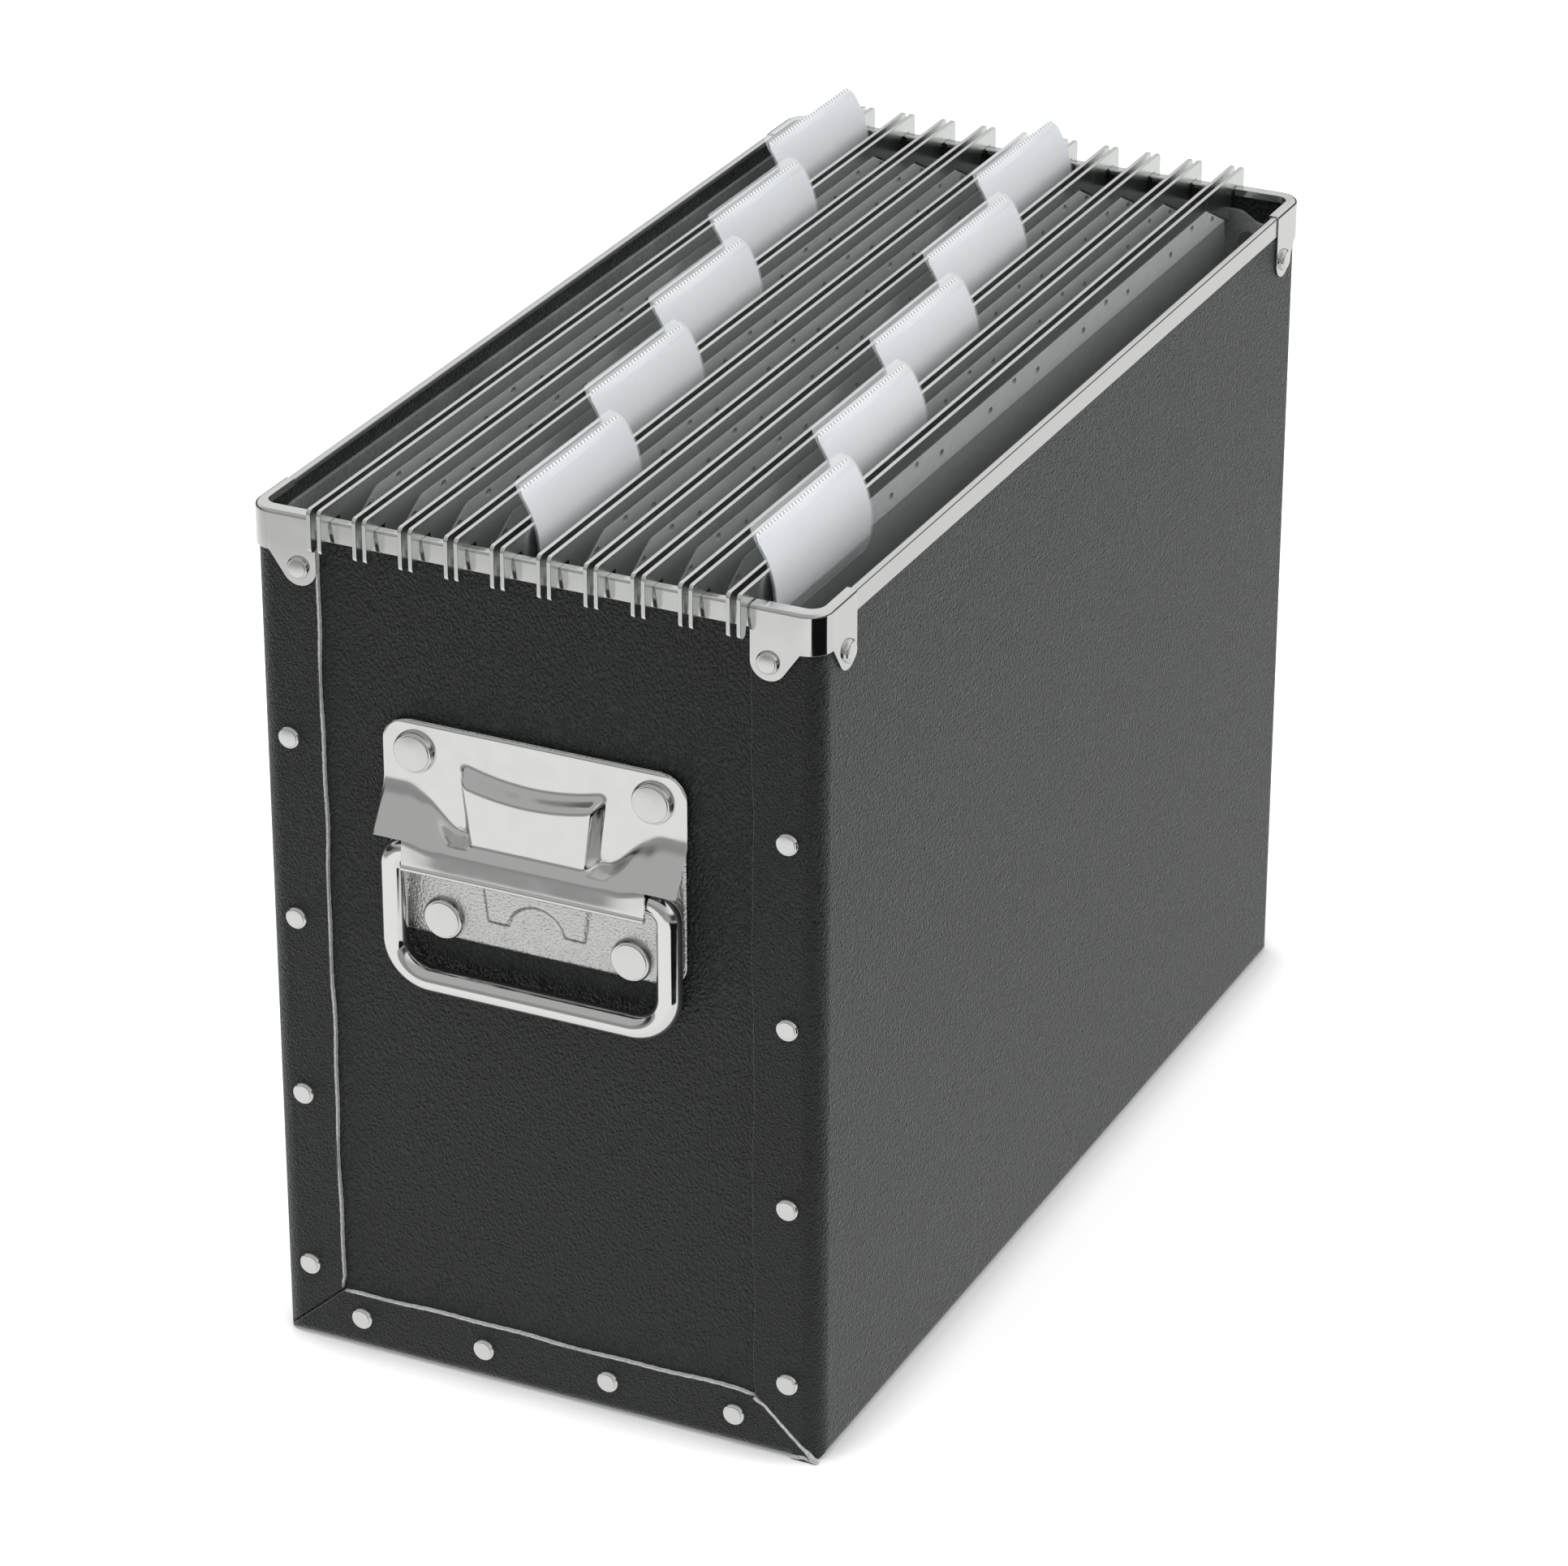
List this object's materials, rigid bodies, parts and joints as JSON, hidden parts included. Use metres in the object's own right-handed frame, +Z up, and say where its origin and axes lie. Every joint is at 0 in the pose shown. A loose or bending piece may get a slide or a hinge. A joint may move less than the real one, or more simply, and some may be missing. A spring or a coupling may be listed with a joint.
{
  "type": "portable file box",
  "caption": "Riveted board box with plated rims, corner caps and drop handles, filled with hanging suspension files with clear index tabs.",
  "frame": {"origin": "on the floor under the middle of the box", "axes": "+Z up, X across the box with the right side at +X, Y along the files with the front end panel at -Y"},
  "size_m": [0.1704, 0.3522, 0.2679],
  "materials": {
    "box_board": "black leather-grained coated fibreboard, low sheen",
    "end_board": "black leather-grained coated fibreboard, low sheen",
    "lining_board": "matt grey board",
    "rim_metal": "bright nickel-plated sheet steel",
    "cap_metal": "bright nickel-plated pressed steel",
    "rivet_metal": "nickel-plated, lightly dulled heads",
    "handle_metal": "nickel-plated pressed steel",
    "bail_metal": "polished nickel-plated steel rod",
    "file_card": "dark grey-green file card, smooth and matt",
    "rail_metal": "zinc-plated pressed steel",
    "clear_plastic": "clear moulded plastic",
    "label_paper": "plain white paper"
  },
  "bodies": {
    "box": {"body_sheet": "box_board", "front_end_panel": "end_board", "rear_end_panel": "end_board", "lining_boards": "lining_board", "front_end_rim": "rim_metal", "rear_end_rim": "rim_metal", "left_side_rim": "rim_metal", "right_side_rim": "rim_metal", "front_left_corner_cap": "cap_metal", "front_right_corner_cap": "cap_metal", "rear_left_corner_cap": "cap_metal", "rear_right_corner_cap": "cap_metal", "panel_rivets": "rivet_metal", "front_handle_base": "handle_metal", "rear_handle_base": "handle_metal", "front_handle_cover": "handle_metal", "rear_handle_cover": "handle_metal", "handle_rivets": "rivet_metal"},
    "front_bail": {"front_bail": "bail_metal"},
    "rear_bail": {"rear_bail": "bail_metal"},
    "file_1": {"pocket_1": "file_card", "hanger_rails_1": "rail_metal", "index_tab_1": "clear_plastic", "label_1": "label_paper"},
    "file_2": {"pocket_2": "file_card", "hanger_rails_2": "rail_metal", "index_tab_2": "clear_plastic", "label_2": "label_paper"},
    "file_3": {"pocket_3": "file_card", "hanger_rails_3": "rail_metal", "index_tab_3": "clear_plastic", "label_3": "label_paper"},
    "file_4": {"pocket_4": "file_card", "hanger_rails_4": "rail_metal", "index_tab_4": "clear_plastic", "label_4": "label_paper"},
    "file_5": {"pocket_5": "file_card", "hanger_rails_5": "rail_metal", "index_tab_5": "clear_plastic", "label_5": "label_paper"},
    "file_6": {"pocket_6": "file_card", "hanger_rails_6": "rail_metal", "index_tab_6": "clear_plastic", "label_6": "label_paper"},
    "file_7": {"pocket_7": "file_card", "hanger_rails_7": "rail_metal", "index_tab_7": "clear_plastic", "label_7": "label_paper"},
    "file_8": {"pocket_8": "file_card", "hanger_rails_8": "rail_metal", "index_tab_8": "clear_plastic", "label_8": "label_paper"},
    "file_9": {"pocket_9": "file_card", "hanger_rails_9": "rail_metal", "index_tab_9": "clear_plastic", "label_9": "label_paper"},
    "file_10": {"pocket_10": "file_card", "hanger_rails_10": "rail_metal", "index_tab_10": "clear_plastic", "label_10": "label_paper"}
  },
  "joints": [
    {"name": "front_bail_swing", "type": "hinge", "parent": "box", "child": "front_bail", "pos_m": [0, -0.1706, 0.163], "axis": [-1, 0, 0], "range_deg": [0, 90]},
    {"name": "rear_bail_swing", "type": "hinge", "parent": "box", "child": "rear_bail", "pos_m": [0, 0.1706, 0.163], "axis": [1, 0, 0], "range_deg": [0, 90]},
    {"name": "file_1_lift", "type": "slide", "parent": "box", "child": "file_1", "axis": [0, 0, 1], "range_m": [0, 0.27]},
    {"name": "file_2_lift", "type": "slide", "parent": "box", "child": "file_2", "axis": [0, 0, 1], "range_m": [0, 0.27]},
    {"name": "file_3_lift", "type": "slide", "parent": "box", "child": "file_3", "axis": [0, 0, 1], "range_m": [0, 0.27]},
    {"name": "file_4_lift", "type": "slide", "parent": "box", "child": "file_4", "axis": [0, 0, 1], "range_m": [0, 0.27]},
    {"name": "file_5_lift", "type": "slide", "parent": "box", "child": "file_5", "axis": [0, 0, 1], "range_m": [0, 0.27]},
    {"name": "file_6_lift", "type": "slide", "parent": "box", "child": "file_6", "axis": [0, 0, 1], "range_m": [0, 0.27]},
    {"name": "file_7_lift", "type": "slide", "parent": "box", "child": "file_7", "axis": [0, 0, 1], "range_m": [0, 0.27]},
    {"name": "file_8_lift", "type": "slide", "parent": "box", "child": "file_8", "axis": [0, 0, 1], "range_m": [0, 0.27]},
    {"name": "file_9_lift", "type": "slide", "parent": "box", "child": "file_9", "axis": [0, 0, 1], "range_m": [0, 0.27]},
    {"name": "file_10_lift", "type": "slide", "parent": "box", "child": "file_10", "axis": [0, 0, 1], "range_m": [0, 0.27]}
  ]
}
